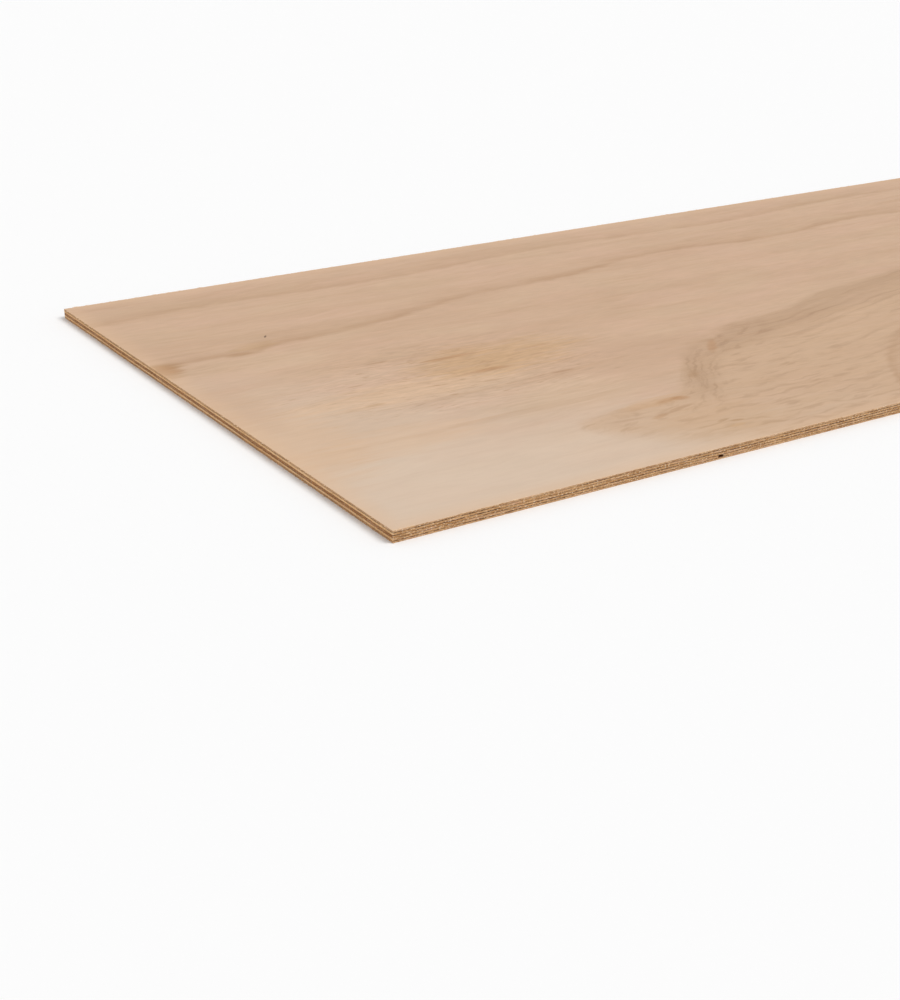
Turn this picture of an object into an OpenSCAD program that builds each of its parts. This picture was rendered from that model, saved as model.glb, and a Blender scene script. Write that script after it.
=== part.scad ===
// Pine plywood sheet: rotary-cut veneers glued face to face, the grain of each laid across its neighbours.
// Millimetres, +Z up. The sheet lies flat with its better face up. +X follows the face grain.
// The origin is at the centre of the underside.

/* [Sheet] */
// Length of the sheet, along the face grain
sheet_length = 1220; // [600:1:3050]
// Width of the sheet, across the face grain
sheet_width = 610; // [300:1:1525]

/* [Lay-up] */
// Thickness of the face veneer, grain along the sheet
face_thickness = 1.5; // [0.6:0.1:4]
// Thickness of each crossband, grain across the sheet
crossband_thickness = 2; // [0.6:0.1:5]
// Thickness of the core veneer, grain along the sheet
core_thickness = 2; // [0.6:0.1:5]
// Thickness of the back veneer, grain along the sheet
back_thickness = 1.5; // [0.6:0.1:4]

/* [Gap in the lower crossband] */
// Width of the crossband strip at the left end of the sheet, up to the gap
end_strip_width = 279; // [50:1:500]
// Open gap left between that strip and the next
gap_width = 5; // [0.5:0.5:12]

/* [Hidden] */

// Height of the underside of each ply, counted up from the underside of the sheet
back_z = 0;
lower_crossband_z = back_z + back_thickness;
core_z = lower_crossband_z + crossband_thickness;
upper_crossband_z = core_z + core_thickness;
face_z = upper_crossband_z + crossband_thickness;

// The ends and long edges of the sheet, and the two sides of the crossband gap
left_end = -sheet_length / 2;
right_end = sheet_length / 2;
front_edge = -sheet_width / 2;
gap_left = left_end + end_strip_width;
gap_right = gap_left + gap_width;

// Colours of sanded pine: the outer veneers and the core show side grain, the crossbands end grain
face_colour = [0.85, 0.76, 0.68];
back_colour = [0.82, 0.71, 0.59];
core_colour = [0.84, 0.70, 0.54];
crossband_colour = [0.67, 0.52, 0.37];

// One piece of veneer, the full width of the sheet, from one x to another
module veneer(from_x, to_x, underside, thickness) {
    translate([from_x, front_edge, underside])
        cube([to_x - from_x, sheet_width, thickness]);
}

module back_veneer() {
    color(back_colour)
        veneer(left_end, right_end, back_z, back_thickness);
}

module lower_crossband_end_strip() {
    color(crossband_colour)
        veneer(left_end, gap_left, lower_crossband_z, crossband_thickness);
}

module lower_crossband_main_strip() {
    color(crossband_colour)
        veneer(gap_right, right_end, lower_crossband_z, crossband_thickness);
}

module core_veneer() {
    color(core_colour)
        veneer(left_end, right_end, core_z, core_thickness);
}

module upper_crossband() {
    color(crossband_colour)
        veneer(left_end, right_end, upper_crossband_z, crossband_thickness);
}

module face_veneer() {
    color(face_colour)
        veneer(left_end, right_end, face_z, face_thickness);
}

back_veneer();
lower_crossband_end_strip();
lower_crossband_main_strip();
core_veneer();
upper_crossband();
face_veneer();
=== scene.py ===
"""A pine plywood sheet lying on a pale floor: five veneers with crossing grain and square sawn edges.

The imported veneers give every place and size. Each is replaced by a piece with sawn, slightly torn edges, and
dressed in wood whose colour follows the grain of that ply. The two outer veneers carry a rotary-cut figure.
"""

import logging
import math
import random
from dataclasses import dataclass
from enum import Enum
from functools import reduce
from typing import Callable, Iterator, Optional, Union

import bmesh
import bpy
from mathutils import Euler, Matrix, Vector


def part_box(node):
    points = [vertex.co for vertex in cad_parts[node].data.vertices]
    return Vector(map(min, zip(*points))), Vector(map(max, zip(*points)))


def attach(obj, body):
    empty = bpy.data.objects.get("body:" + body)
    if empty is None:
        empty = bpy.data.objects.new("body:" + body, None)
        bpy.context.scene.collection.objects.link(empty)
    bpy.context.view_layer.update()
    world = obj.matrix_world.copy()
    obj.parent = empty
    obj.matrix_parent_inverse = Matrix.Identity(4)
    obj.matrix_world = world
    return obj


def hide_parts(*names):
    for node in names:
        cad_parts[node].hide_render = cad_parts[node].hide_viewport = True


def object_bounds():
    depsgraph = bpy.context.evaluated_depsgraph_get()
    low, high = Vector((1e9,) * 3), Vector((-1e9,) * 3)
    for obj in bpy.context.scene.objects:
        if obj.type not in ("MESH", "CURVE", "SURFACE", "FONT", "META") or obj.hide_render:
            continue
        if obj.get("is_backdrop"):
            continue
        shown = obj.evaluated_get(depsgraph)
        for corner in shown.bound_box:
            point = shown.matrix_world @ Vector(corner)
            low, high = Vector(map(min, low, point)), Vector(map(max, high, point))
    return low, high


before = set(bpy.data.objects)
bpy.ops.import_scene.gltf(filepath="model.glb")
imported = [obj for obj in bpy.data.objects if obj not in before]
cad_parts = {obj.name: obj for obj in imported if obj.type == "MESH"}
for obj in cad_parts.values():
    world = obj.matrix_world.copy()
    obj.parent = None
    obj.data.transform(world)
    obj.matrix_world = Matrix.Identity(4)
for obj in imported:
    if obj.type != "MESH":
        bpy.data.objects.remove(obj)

LOG = logging.getLogger("plywood_sheet")
MM = 0.001
BODY = "root"
SEED = 9

Socket = bpy.types.NodeSocket
Value = Union[bpy.types.NodeSocket, float, tuple[float, ...]]
Colour = tuple[float, float, float, float]
Point = tuple[float, float]


def srgb(red: int, green: int, blue: int) -> Colour:
    """Turns a colour written as 0 to 255 into the linear colour that shaders take.

    Args:
        red: Red, from 0 to 255.
        green: Green, from 0 to 255.
        blue: Blue, from 0 to 255.

    Returns:
        The linear colour, with an alpha of 1.
    """

    def linear(part: int) -> float:
        """Gives the linear light of one sRGB part."""
        share = part / 255
        return share / 12.92 if share <= 0.04045 else ((share + 0.055) / 1.055) ** 2.4

    return (linear(red), linear(green), linear(blue), 1.0)


class Grain(Enum):
    """The way a ply's grain runs, with the number of that axis."""

    ALONG = 0
    ACROSS = 1


class OpenFace(Enum):
    """Which face of a ply lies open on the outside of the sheet, and which way it looks."""

    UP = 1
    DOWN = -1
    NONE = 0


class Fade(Enum):
    """Which way a line of late wood fades: up, towards the rear edge, or down, towards the front edge."""

    UP = 1.0
    DOWN = -1.0


class Side(Enum):
    """A side of the sheet: the axis that it faces along, and which way."""

    LEFT = (0, -1)
    RIGHT = (0, 1)
    FRONT = (1, -1)
    REAR = (1, 1)

    @property
    def axis(self) -> int:
        """The number of the axis that the side faces along."""
        return self.value[0]

    @property
    def sign(self) -> int:
        """Whether the side faces along the axis or against it."""
        return self.value[1]


class MeshPart(Enum):
    """What is selected in edit mode, with the name of its list in a mesh."""

    EDGE = "edges"
    FACE = "faces"


@dataclass(frozen=True)
class Cloud:
    """Cloudy noise: its clouds' size along x, y and z, a shift that sets it apart, and its finer layers."""

    size: tuple[float, float, float]
    shift: float = 0.0
    detail: float = 2.0
    roughness: float = 0.5
    distortion: float = 0.0


@dataclass(frozen=True)
class Ramp:
    """A smooth turn of a number from low to high, from a start to an end, which may lie below the start."""

    start: float
    end: float
    low: float = 0.0
    high: float = 1.0


class NodeSketch:
    """Draws one node tree, node by node, from left to right."""

    STEP = 180.0
    CURVE_RUN = 1300.0
    CURVE_LOW = -200.0
    CURVE_HIGH = 1000.0
    NOISE_MEAN = 0.5
    MIX_FIRST = 6
    MIX_SECOND = 7
    MIX_RESULT = 2

    def __init__(self, tree: bpy.types.NodeTree) -> None:
        """Starts on a tree.

        Args:
            tree: The node tree of a material, a world or a node group.
        """
        self.tree = tree

    def node(self, kind: str, **settings: object) -> bpy.types.Node:
        """Adds a node.

        Args:
            kind: The node's type.
            settings: Properties to set on it.

        Returns:
            The new node.
        """
        made = self.tree.nodes.new(kind)
        made.location = (len(self.tree.nodes) * self.STEP, 0)
        for name, value in settings.items():
            setattr(made, name, value)
        return made

    def feed(self, socket: Socket, value: Value) -> None:
        """Links a socket to another, or sets its own value."""
        if isinstance(value, bpy.types.NodeSocket):
            self.tree.links.new(value, socket)
        else:
            socket.default_value = value

    def math(self, operation: str, *values: Value) -> Socket:
        """Adds a sum on numbers.

        Args:
            operation: The Math node's operation.
            values: Its inputs, in order.

        Returns:
            The result.
        """
        made = self.node("ShaderNodeMath", operation=operation)
        for socket, value in zip(made.inputs, values):
            self.feed(socket, value)
        return made.outputs[0]

    def chain(self, operation: str, *values: Value) -> Socket:
        """Works one sum over any number of numbers, from the first to the last."""
        return reduce(lambda result, value: self.math(operation, result, value), values)

    def total(self, *values: Value) -> Socket:
        """Adds up any number of numbers."""
        return self.chain("ADD", *values)

    def product(self, *values: Value) -> Socket:
        """Multiplies any number of numbers."""
        return self.chain("MULTIPLY", *values)

    def lowest(self, *values: Value) -> Socket:
        """Gives the lowest of any number of numbers."""
        return self.chain("MINIMUM", *values)

    def vector(self, operation: str, *values: Value) -> Socket:
        """Adds a sum on vectors, and returns the vector."""
        made = self.node("ShaderNodeVectorMath", operation=operation)
        for socket, value in zip(made.inputs, values):
            self.feed(socket, value)
        return made.outputs["Vector"]

    def scale(self, vector: Value, factor: Value) -> Socket:
        """Makes a vector or a colour larger or smaller by a factor."""
        made = self.node("ShaderNodeVectorMath", operation="SCALE")
        self.feed(made.inputs[0], vector)
        self.feed(made.inputs["Scale"], factor)
        return made.outputs["Vector"]

    def split(self, vector: Socket) -> tuple[Socket, Socket, Socket]:
        """Takes a vector apart into x, y and z."""
        made = self.node("ShaderNodeSeparateXYZ")
        self.feed(made.inputs[0], vector)
        return made.outputs[0], made.outputs[1], made.outputs[2]

    def join(self, x: Value, y: Value, z: Value) -> Socket:
        """Makes a vector of three numbers."""
        made = self.node("ShaderNodeCombineXYZ")
        for socket, value in zip(made.inputs, (x, y, z)):
            self.feed(socket, value)
        return made.outputs[0]

    def noise(self, vector: Socket, cloud: Cloud, seed: float = 0.0) -> Socket:
        """Adds cloudy noise.

        Args:
            vector: Where the noise is read.
            cloud: Its clouds, sized in the vector's units.
            seed: Moves the pattern on, so that two like noises differ.

        Returns:
            The noise, from 0 to 1 and about 0.5 on average.
        """
        spread = self.node("ShaderNodeMapping", vector_type="TEXTURE")
        self.feed(spread.inputs["Vector"], vector)
        spread.inputs["Scale"].default_value = cloud.size
        spread.inputs["Location"].default_value = [part * (seed + cloud.shift) for part in cloud.size]
        made = self.node("ShaderNodeTexNoise")
        self.feed(made.inputs["Vector"], spread.outputs[0])
        made.inputs["Scale"].default_value = 1.0
        made.inputs["Detail"].default_value = cloud.detail
        made.inputs["Roughness"].default_value = cloud.roughness
        made.inputs["Distortion"].default_value = cloud.distortion
        return made.outputs["Fac"]

    def waver(self, vector: Socket, cloud: Cloud, reach: float, seed: float = 0.0) -> Socket:
        """Adds noise that swings about zero.

        Args:
            vector: Where the noise is read.
            cloud: Its clouds.
            reach: The furthest that it swings to either side, below zero to turn it over.
            seed: Moves the pattern on.

        Returns:
            A number from -reach to reach.
        """
        swing = self.math("SUBTRACT", self.noise(vector, cloud, seed), self.NOISE_MEAN)
        return self.product(swing, 2.0 * reach)

    def curve(self, value: Socket, points: tuple[Point, ...]) -> Socket:
        """Draws a smooth line through points, all in millimetres.

        Args:
            value: The way along the line.
            points: Points of the line, as the way along and the way across.

        Returns:
            The line's way across.
        """
        made = self.node("ShaderNodeFloatCurve")
        self.feed(made.inputs["Value"], self.math("DIVIDE", value, self.CURVE_RUN))
        reach = self.CURVE_HIGH - self.CURVE_LOW
        places = [(along / self.CURVE_RUN, (across - self.CURVE_LOW) / reach) for along, across in points]
        line = made.mapping.curves[0]
        line.points[0].location = places[0]
        line.points[1].location = places[-1]
        for place in places[1:-1]:
            line.points.new(*place)
        made.mapping.update()
        return self.math("MULTIPLY_ADD", made.outputs["Value"], reach, self.CURVE_LOW)

    def ease(self, value: Value, ramp: Ramp) -> Socket:
        """Turns a number smoothly along a ramp, and returns the result."""
        made = self.node("ShaderNodeMapRange", interpolation_type="SMOOTHSTEP")
        bounds = (ramp.start, ramp.end, ramp.low, ramp.high)
        if ramp.start > ramp.end:
            bounds = (ramp.end, ramp.start, ramp.high, ramp.low)
        for socket, part in zip(made.inputs, (value, *bounds)):
            self.feed(socket, part)
        return made.outputs[0]

    def blend(self, factor: Socket, first: Socket, second: Socket) -> Socket:
        """Turns one number into another as a factor goes from 0 to 1."""
        return self.math("MULTIPLY_ADD", self.math("SUBTRACT", second, first), factor, first)

    def tint(self, factor: Value, first: Value, second: Value) -> Socket:
        """Mixes two colours.

        Args:
            factor: How much of the second colour there is.
            first: The colour below.
            second: The colour on top.

        Returns:
            The mixed colour.
        """
        made = self.node("ShaderNodeMix", data_type="RGBA")
        self.feed(made.inputs[0], factor)
        self.feed(made.inputs[self.MIX_FIRST], first)
        self.feed(made.inputs[self.MIX_SECOND], second)
        return made.outputs[self.MIX_RESULT]

    def group(self, tree: bpy.types.NodeTree, **values: Value) -> bpy.types.Node:
        """Places a node group.

        Args:
            tree: The group.
            values: Its inputs, by name.

        Returns:
            The group's node.
        """
        made = self.node("ShaderNodeGroup", node_tree=tree)
        for name, value in values.items():
            self.feed(made.inputs[name], value)
        return made


FLOAT = "NodeSocketFloat"
VECTOR = "NodeSocketVector"


def new_group(name: str, inputs: dict[str, str], outputs: tuple[str, ...]) -> tuple[NodeSketch, dict, dict]:
    """Starts a shader node group.

    Args:
        name: The group's name.
        inputs: Kind of each input socket, by name.
        outputs: Names of the output sockets, all of them numbers.

    Returns:
        A sketch of the group, its inputs by name, and the sockets to feed its outputs.
    """
    tree = bpy.data.node_groups.new(name, "ShaderNodeTree")
    for label, kind in inputs.items():
        tree.interface.new_socket(label, in_out="INPUT", socket_type=kind)
    for label in outputs:
        tree.interface.new_socket(label, in_out="OUTPUT", socket_type=FLOAT)
    sketch = NodeSketch(tree)
    entry = sketch.node("NodeGroupInput")
    leave = sketch.node("NodeGroupOutput")
    given = {label: entry.outputs[label] for label in inputs}
    return sketch, given, {label: leave.inputs[label] for label in outputs}


class WoodGroups:
    """The effects that several kinds of wood share, each a shader node group, with sizes in millimetres."""

    # Fine grain
    BEND = Cloud((140, 60, 60), 19.0)
    BEND_REACH = 14.0
    STREAK = Cloud((80, 7, 7), 3.1, detail=3, roughness=0.55)
    FIBRE = Cloud((26, 0.9, 0.9), 7.7)
    FLECK = Cloud((17, 3.2, 3.2), 17.9, roughness=0.55)
    DASH = Cloud((13, 2.0, 2.0), 11.3, detail=1)
    DASH_RAMP = Ramp(0.6, 0.76)

    # Marks on a face
    MARK_FRAY = Cloud((48, 5, 5), 5.5, detail=3, roughness=0.6)
    MARK_RAMP = Ramp(1.0, 0.0)

    # Sawn edges
    GLUE_SWAY = Cloud((24, 40, 1), 2.2)
    GLUE_SWAY_REACH = 0.22
    GLUE_RAMP = Ramp(0.42, 0.2)
    GLUE_DASH = Cloud((5.0, 1.1, 1), 9.1)
    GLUE_DASH_RAMP = Ramp(0.35, 0.5, 0.3, 1.0)
    GLUE_STRETCH = Cloud((55, 1.6, 1), 15.3, detail=1)
    GLUE_STRETCH_RAMP = Ramp(0.34, 0.6, 0.45, 1.0)
    SAW = Cloud((1.1, 30, 1), 13.7)
    PORE = Cloud((2.6, 0.8, 1), 21.0, roughness=0.65)
    BAND = Cloud((15, 0.7, 1), 31.0, roughness=0.55)
    PATCH = Cloud((18, 1.6, 1), 57.0)
    TUFT = Cloud((1.7, 0.6, 1), 43.0, detail=1)
    TUFT_RAMP = Ramp(0.56, 0.72)

    # Frayed arrises
    INNER_RAMP = Ramp(0.5, 1.6)
    # Inside the sheet, where hidden faces get glue stain and the gap walls get painted shade
    RIM_RAMP = Ramp(22.0, -2.0)
    FRAY_STRETCH = Cloud((22, 22, 22), 6.3)
    FRAY_REACH = Ramp(0.36, 0.68, 0.6, 4.2)
    FRAY_CLOSE = Ramp(1.0, 0.15)
    FRAY_FIBRE = Cloud((4.5, 1.3, 1.3), 27.0, roughness=0.6)
    FRAY_FIBRE_RAMP = Ramp(0.44, 0.62)

    def __init__(self, glue_levels: list[float]) -> None:
        """Builds the groups.

        Args:
            glue_levels: Heights of the glue lines above the floor, in millimetres.
        """
        self.fibre = self._fibre()
        self.spot = self._spot()
        self.sawn_edge = self._sawn_edge(glue_levels)
        self.arris = self._arris()

    def mark(
        self, sketch: NodeSketch, place: Socket, centre: Point, size: Point, fray: float, turn: float = 0.0
    ) -> Socket:
        """Places a soft mark on a face.

        Args:
            sketch: The material's tree.
            place: Where on the sheet, in millimetres from its near corner.
            centre: The mark's middle.
            size: Its reach along the sheet and across.
            fray: How ragged its rim is.
            turn: How far it is turned, in degrees.

        Returns:
            Its mask, 1 in the middle and 0 outside.
        """
        made = sketch.group(
            self.spot,
            Vector=place,
            Centre=(*centre, 0.0),
            Size=(*size, 1.0),
            Turn=math.radians(turn),
            Fray=fray,
        )
        return made.outputs["Mask"]

    def _fibre(self) -> bpy.types.NodeTree:
        """Builds the fine grain of pine.

        Returns:
            The group: Grain, a place with x along the grain, gives Streak, Fibre, Fleck and Dash.
        """
        sketch, given, out = new_group("pine_fibre", {"Grain": VECTOR}, ("Streak", "Fibre", "Fleck", "Dash"))
        bend = sketch.waver(given["Grain"], self.BEND, self.BEND_REACH)
        grain = sketch.vector("ADD", given["Grain"], sketch.join(0.0, bend, 0.0))
        clouds = {"Streak": self.STREAK, "Fibre": self.FIBRE, "Fleck": self.FLECK}
        for label, cloud in clouds.items():
            sketch.feed(out[label], sketch.noise(grain, cloud))
        sketch.feed(out["Dash"], sketch.ease(sketch.noise(grain, self.DASH), self.DASH_RAMP))
        return sketch.tree

    def _spot(self) -> bpy.types.NodeTree:
        """Builds a soft mark on a face with frayed ends along the grain.

        Returns:
            The group: Vector, Centre, Size, Turn and Fray give Mask, 1 in the middle and 0 outside.
        """
        inputs = {"Vector": VECTOR, "Centre": VECTOR, "Size": VECTOR, "Turn": FLOAT, "Fray": FLOAT}
        sketch, given, out = new_group("face_mark", inputs, ("Mask",))
        turned = sketch.node("ShaderNodeVectorRotate", rotation_type="Z_AXIS")
        sketch.feed(turned.inputs["Vector"], sketch.vector("SUBTRACT", given["Vector"], given["Centre"]))
        sketch.feed(turned.inputs["Angle"], sketch.product(given["Turn"], -1.0))
        x, y, _ = sketch.split(sketch.vector("DIVIDE", turned.outputs["Vector"], given["Size"]))
        reach = sketch.total(sketch.product(x, x), sketch.product(y, y))
        cloud = sketch.noise(given["Vector"], self.MARK_FRAY)
        ragged = sketch.product(sketch.math("SUBTRACT", cloud, sketch.NOISE_MEAN), given["Fray"])
        sketch.feed(out["Mask"], sketch.ease(sketch.total(reach, ragged), self.MARK_RAMP))
        return sketch.tree

    def _sawn_edge(self, glue_levels: list[float]) -> bpy.types.NodeTree:
        """Builds the marks on sawn edges: glue lines, saw strokes, and the pores and tufts of torn fibre.

        Args:
            glue_levels: Heights of the glue lines.

        Returns:
            The group: Vector gives Glue, Saw, Pore, Band, Patch and Tuft.
        """
        outputs = ("Glue", "Saw", "Pore", "Band", "Patch", "Tuft")
        sketch, given, out = new_group("sawn_edge", {"Vector": VECTOR}, outputs)
        x, y, z = sketch.split(given["Vector"])
        edge = sketch.join(sketch.total(x, y), z, 0.0)
        height = sketch.total(z, sketch.waver(edge, self.GLUE_SWAY, self.GLUE_SWAY_REACH))
        apart = [sketch.math("ABSOLUTE", sketch.math("SUBTRACT", height, level)) for level in glue_levels]
        line = sketch.ease(sketch.lowest(*apart), self.GLUE_RAMP)
        dashes = sketch.ease(sketch.noise(edge, self.GLUE_DASH), self.GLUE_DASH_RAMP)
        stretches = sketch.ease(sketch.noise(edge, self.GLUE_STRETCH), self.GLUE_STRETCH_RAMP)
        sketch.feed(out["Glue"], sketch.product(line, dashes, stretches))
        clouds = {"Saw": self.SAW, "Pore": self.PORE, "Band": self.BAND, "Patch": self.PATCH}
        for label, cloud in clouds.items():
            sketch.feed(out[label], sketch.noise(edge, cloud))
        sketch.feed(out["Tuft"], sketch.ease(sketch.noise(edge, self.TUFT), self.TUFT_RAMP))
        return sketch.tree

    def _arris(self) -> bpy.types.NodeTree:
        """Builds the frayed border of an open face, where the saw has lifted pale fibres.

        Returns:
            The group: Vector and Size, from the near corner, give Mask, Rim, which fades away from the
            arrises, and Inner, which is 1 inside the sheet and 0 on its sawn edges.
        """
        inputs = {"Vector": VECTOR, "Size": VECTOR}
        sketch, given, out = new_group("frayed_arris", inputs, ("Mask", "Rim", "Inner"))
        near = sketch.split(given["Vector"])
        far = sketch.split(sketch.vector("SUBTRACT", given["Size"], given["Vector"]))
        border = sketch.lowest(near[0], near[1], far[0], far[1])
        sketch.feed(out["Inner"], sketch.ease(border, self.INNER_RAMP))
        sketch.feed(out["Rim"], sketch.ease(border, self.RIM_RAMP))
        reach = sketch.ease(sketch.noise(given["Vector"], self.FRAY_STRETCH), self.FRAY_REACH)
        close = sketch.ease(sketch.math("DIVIDE", border, reach), self.FRAY_CLOSE)
        fibres = sketch.ease(sketch.noise(given["Vector"], self.FRAY_FIBRE), self.FRAY_FIBRE_RAMP)
        sketch.feed(out["Mask"], sketch.product(close, fibres))
        return sketch.tree


@dataclass(frozen=True)
class FaceMark:
    """A mark on a face, placed from the sheet's near corner, in millimetres and degrees."""

    centre: Point
    size: Point
    colour: Colour
    strength: float
    fray: float = 1.4
    turn: float = 0.0

    def draw(self, sketch: NodeSketch, groups: WoodGroups, place: Socket, wood: Socket) -> Socket:
        """Lays the mark on the wood.

        Args:
            sketch: The material's tree.
            groups: The shared groups.
            place: Where on the sheet, in millimetres from its near corner.
            wood: The colour below.

        Returns:
            The colour with the mark.
        """
        mask = groups.mark(sketch, place, self.centre, self.size, self.fray, self.turn)
        return sketch.tint(sketch.product(mask, self.strength), wood, self.colour)


@dataclass(frozen=True)
class RingLine:
    """A line of late wood on a face: crisp and scalloped on one side, fading on the other."""

    SCALLOP = Cloud((44, 40, 40))
    SCALLOP_REACH = 6.0
    RIPPLE = Cloud((26, 9, 9), 3.0)
    RIPPLE_REACH = 5.0
    CRISP_RAMP = Ramp(-5.0, 6.0)
    CORE_SHARE = 0.6
    UNEVEN = Cloud((60, 20, 20), 6.0)
    UNEVEN_RAMP = Ramp(0.3, 0.62, 0.6, 1.0)

    points: tuple[Point, ...]
    strength: float
    width: float = 18.0
    fade: float = 42.0
    way: Fade = Fade.UP
    seed: float = 0.0

    def draw(self, sketch: NodeSketch, place: Socket, wood: Socket, colour: Colour) -> Socket:
        """Lays the line on the wood.

        Args:
            sketch: The material's tree.
            place: Where on the sheet, in millimetres from its near corner.
            wood: The colour below.
            colour: The colour of the late wood.

        Returns:
            The colour with the line.
        """
        x, y, _ = sketch.split(place)
        scallop = sketch.math("ABSOLUTE", sketch.waver(place, self.SCALLOP, self.SCALLOP_REACH, self.seed))
        ripple = sketch.waver(place, self.RIPPLE, self.RIPPLE_REACH, self.seed)
        height = sketch.product(sketch.math("SUBTRACT", y, sketch.curve(x, self.points)), self.way.value)
        above = sketch.math("SUBTRACT", sketch.total(height, ripple), scallop)
        crisp = sketch.ease(above, self.CRISP_RAMP)
        core = sketch.ease(above, Ramp(self.width, 0.0, 0.0, self.CORE_SHARE))
        soft = sketch.ease(above, Ramp(self.fade, 0.0, 0.0, 1.0 - self.CORE_SHARE))
        uneven = sketch.ease(sketch.noise(place, self.UNEVEN, self.seed), self.UNEVEN_RAMP)
        dark = sketch.product(crisp, sketch.total(core, soft), uneven, self.strength)
        return sketch.tint(dark, wood, colour)


@dataclass(frozen=True)
class Flame:
    """A pointed figure where the knife ran nearly along the growth rings, between two border lines."""

    BROAD = Cloud((70, 36, 36))
    BROAD_REACH = 9.0
    FINE = Cloud((18, 8, 8), 2.0, detail=3)
    FINE_REACH = 7.0
    FINE_CALMED = Ramp(0.0, 1.0, 1.0, 0.15)
    UPPER_RAMP = Ramp(-6.0, 12.0)
    LOWER_RAMP = Ramp(-16.0, 30.0)
    GROUND = Cloud((60, 16, 16), 9.0)
    GROUND_RAMP = Ramp(0.3, 0.7, 0.7, 1.0)
    BAND_FULL_SHARE = 0.4
    BAND_RISE = 50.0
    BAND_FALL = 260.0
    BAND_STRENGTH = 0.36
    SHORT_RINGS = Cloud((26, 8.0, 1), 5.0, detail=3, roughness=0.55, distortion=0.4)
    SWAY = Cloud((34, 22, 22), 11.0)
    SWAY_REACH = 9.0
    WAVES = Cloud((34, 6.5, 1), 6.0, roughness=0.55, distortion=0.3)
    WAVES_START_SHARE = 0.5
    WAVES_FULL_SHARE = 1.15
    LONG_RINGS = Cloud((190, 9.0, 1), 8.0, detail=3, distortion=0.1)
    LATE_RAMP = Ramp(0.48, 0.68)
    EARLY_RAMP = Ramp(0.46, 0.3)
    EARLY_SHARE = 0.6
    RING_STRENGTH = 0.34
    BAND_RING_STRENGTH = 0.14

    upper: tuple[Point, ...]
    lower: tuple[Point, ...]
    colour: Colour
    line_colour: Colour
    strength: float
    band_start: float
    band_end: float = 2000.0
    band_width: float = 64.0
    calm_start: float = 430.0
    calm_end: float = 620.0
    seed: float = 0.0

    def draw(self, sketch: NodeSketch, place: Socket, wood: Socket) -> Socket:
        """Lays the flame on the wood: a tan ground and nested rings, stronger in a band by its upper border.

        Args:
            sketch: The material's tree.
            place: Where on the sheet, in millimetres from its near corner.
            wood: The colour below.

        Returns:
            The colour with the flame.
        """
        x, y, _ = sketch.split(place)
        calm = sketch.ease(x, Ramp(self.calm_start, self.calm_end))
        broad = sketch.waver(place, self.BROAD, self.BROAD_REACH, self.seed)
        fine = sketch.waver(place, self.FINE, self.FINE_REACH, self.seed)
        wobble = sketch.total(broad, sketch.product(fine, sketch.ease(calm, self.FINE_CALMED)))
        below = sketch.total(sketch.math("SUBTRACT", sketch.curve(x, self.upper), y), wobble)
        above = sketch.total(sketch.math("SUBTRACT", y, sketch.curve(x, self.lower)), wobble)
        inside = sketch.product(sketch.ease(below, self.UPPER_RAMP), sketch.ease(above, self.LOWER_RAMP))
        ground = sketch.ease(sketch.noise(place, self.GROUND, self.seed), self.GROUND_RAMP)
        tan = sketch.tint(sketch.product(inside, ground, self.strength), wood, self.colour)
        band = sketch.product(
            inside,
            sketch.ease(below, Ramp(self.band_width, self.band_width * self.BAND_FULL_SHARE)),
            sketch.ease(x, Ramp(self.band_start, self.band_start + self.BAND_RISE)),
            sketch.ease(x, Ramp(self.band_end, self.band_end - self.BAND_FALL)),
        )
        tan = sketch.tint(sketch.product(band, self.BAND_STRENGTH), tan, self.line_colour)
        rings = self._rings(sketch, place, below, calm)
        strength = sketch.math("MULTIPLY_ADD", band, self.BAND_RING_STRENGTH, self.RING_STRENGTH)
        late = sketch.product(inside, sketch.ease(rings, self.LATE_RAMP), strength)
        early = sketch.product(inside, sketch.ease(rings, self.EARLY_RAMP), strength, self.EARLY_SHARE)
        return sketch.tint(early, sketch.tint(late, tan, self.line_colour), wood)

    def _rings(self, sketch: NodeSketch, place: Socket, below: Socket, calm: Socket) -> Socket:
        """Draws the rings: short ones by the upper border, waves further in, and long ones where it is calm.

        Args:
            sketch: The material's tree.
            place: Where on the sheet, in millimetres from its near corner.
            below: How far the place is below the upper border.
            calm: Where the figure is calm.

        Returns:
            The rings, as noise from 0 to 1.
        """
        x, y, _ = sketch.split(place)
        run = sketch.join(x, below, 0.0)
        swayed = sketch.total(y, sketch.waver(place, self.SWAY, self.SWAY_REACH, self.seed))
        short = sketch.noise(run, self.SHORT_RINGS, self.seed)
        waves = sketch.noise(sketch.join(x, swayed, 0.0), self.WAVES, self.seed)
        long = sketch.noise(run, self.LONG_RINGS, self.seed)
        further_in = Ramp(self.band_width * self.WAVES_START_SHARE, self.band_width * self.WAVES_FULL_SHARE)
        turned = sketch.blend(sketch.ease(below, further_in), short, waves)
        return sketch.blend(calm, turned, long)


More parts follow.
